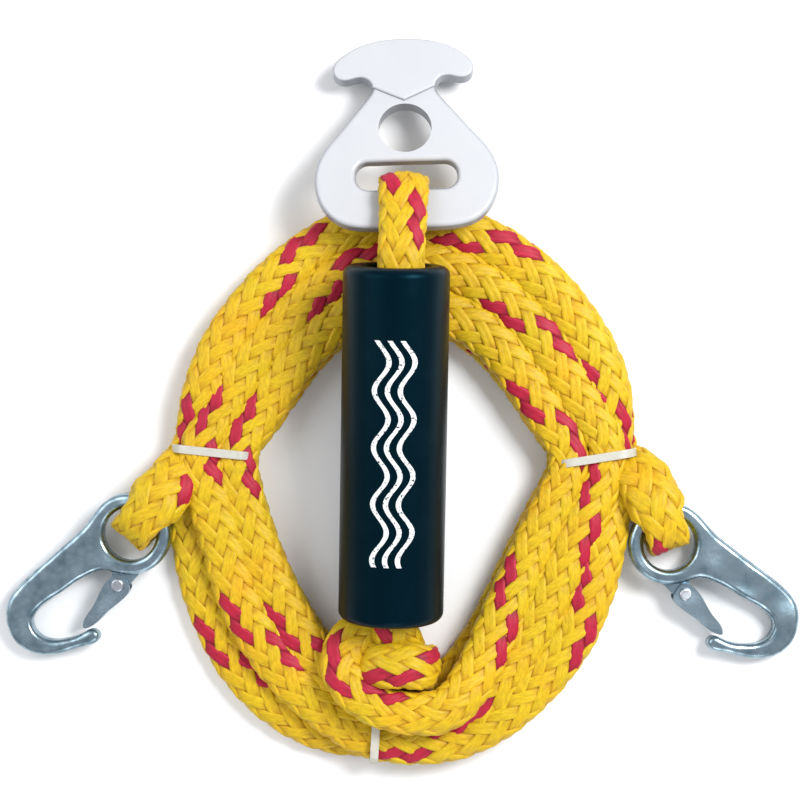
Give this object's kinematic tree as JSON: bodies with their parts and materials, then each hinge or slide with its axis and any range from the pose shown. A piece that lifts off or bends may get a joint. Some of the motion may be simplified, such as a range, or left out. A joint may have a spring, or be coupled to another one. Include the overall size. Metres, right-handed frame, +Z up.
{
  "type": "boat tow harness",
  "caption": "Coiled flat-braid tow harness: a snap hook at each end, its middle run through a foam float and looped round a plastic tow hitch plate.",
  "frame": {"origin": "under the middle of the whole object, on the surface that it lies on", "axes": "+X to the right across both hooks, +Y toward the tow hitch, +Z up from the surface"},
  "size_m": [0.3987, 0.3648, 0.0752],
  "materials": {
    "rope": "hollow-braided polypropylene",
    "hitch": "translucent moulded",
    "float": "closed-cell foam with a smooth skin",
    "hook": "galvanised",
    "gate": "galvanised sheet",
    "rivet": "galvanised",
    "spring": "spring steel",
    "tie": "translucent nylon"
  },
  "bodies": {
    "hank": {"rope_coil": "rope", "rope_bight": "rope", "stopper_knot": "rope", "rope_leg_over": "rope", "rope_leg_under": "rope", "left_eye_splice": "rope", "right_eye_splice": "rope", "left_cable_tie": "tie", "right_cable_tie": "tie", "bottom_cable_tie": "tie"},
    "hitch": {"tow_hitch": "hitch"},
    "float": {"float": "float"},
    "left_hook": {"left_hook": "hook", "left_gate_rivet": "rivet", "left_gate_spring": "spring"},
    "left_gate": {"left_gate": "gate"},
    "right_hook": {"right_hook": "hook", "right_gate_rivet": "rivet", "right_gate_spring": "spring"},
    "right_gate": {"right_gate": "gate"}
  },
  "joints": [
    {"name": "hitch_fold", "type": "hinge", "parent": "hank", "child": "hitch", "pos_m": [0.0025, 0.0945, 0.035], "axis": [0.9995, 0.0305, 0], "range_deg": [0, 80], "deforming": ["rope_bight"]},
    {"name": "float_slide", "type": "slide", "parent": "hank", "child": "float", "axis": [0.0173, 0.9904, 0.1374], "range_m": [0, 0.005], "deforming": ["rope_bight"]},
    {"name": "left_hook_swing", "type": "hinge", "parent": "hank", "child": "left_hook", "pos_m": [-0.1362, -0.0654, 0.0116], "axis": [-0.0658, -0.0572, 0.9962], "range_deg": [-25, 25]},
    {"name": "left_gate_hinge", "type": "hinge", "parent": "left_hook", "child": "left_gate", "pos_m": [-0.14247, -0.09099, 0.00972], "axis": [0.0658, 0.0572, -0.9962], "range_deg": [0, 32], "stiffness_Nm_per_rad": 0.1, "springref_deg": -17.19, "deforming": ["left_gate_spring"]},
    {"name": "right_hook_swing", "type": "hinge", "parent": "hank", "child": "right_hook", "pos_m": [0.1333, -0.0704, 0.0116], "axis": [-0.0696, 0.0525, -0.9962], "range_deg": [-25, 25]},
    {"name": "right_gate_hinge", "type": "hinge", "parent": "right_hook", "child": "right_gate", "pos_m": [0.14134, -0.09549, 0.00972], "axis": [0.0696, -0.0525, 0.9962], "range_deg": [0, 32], "stiffness_Nm_per_rad": 0.1, "springref_deg": -17.19, "deforming": ["right_gate_spring"]}
  ]
}
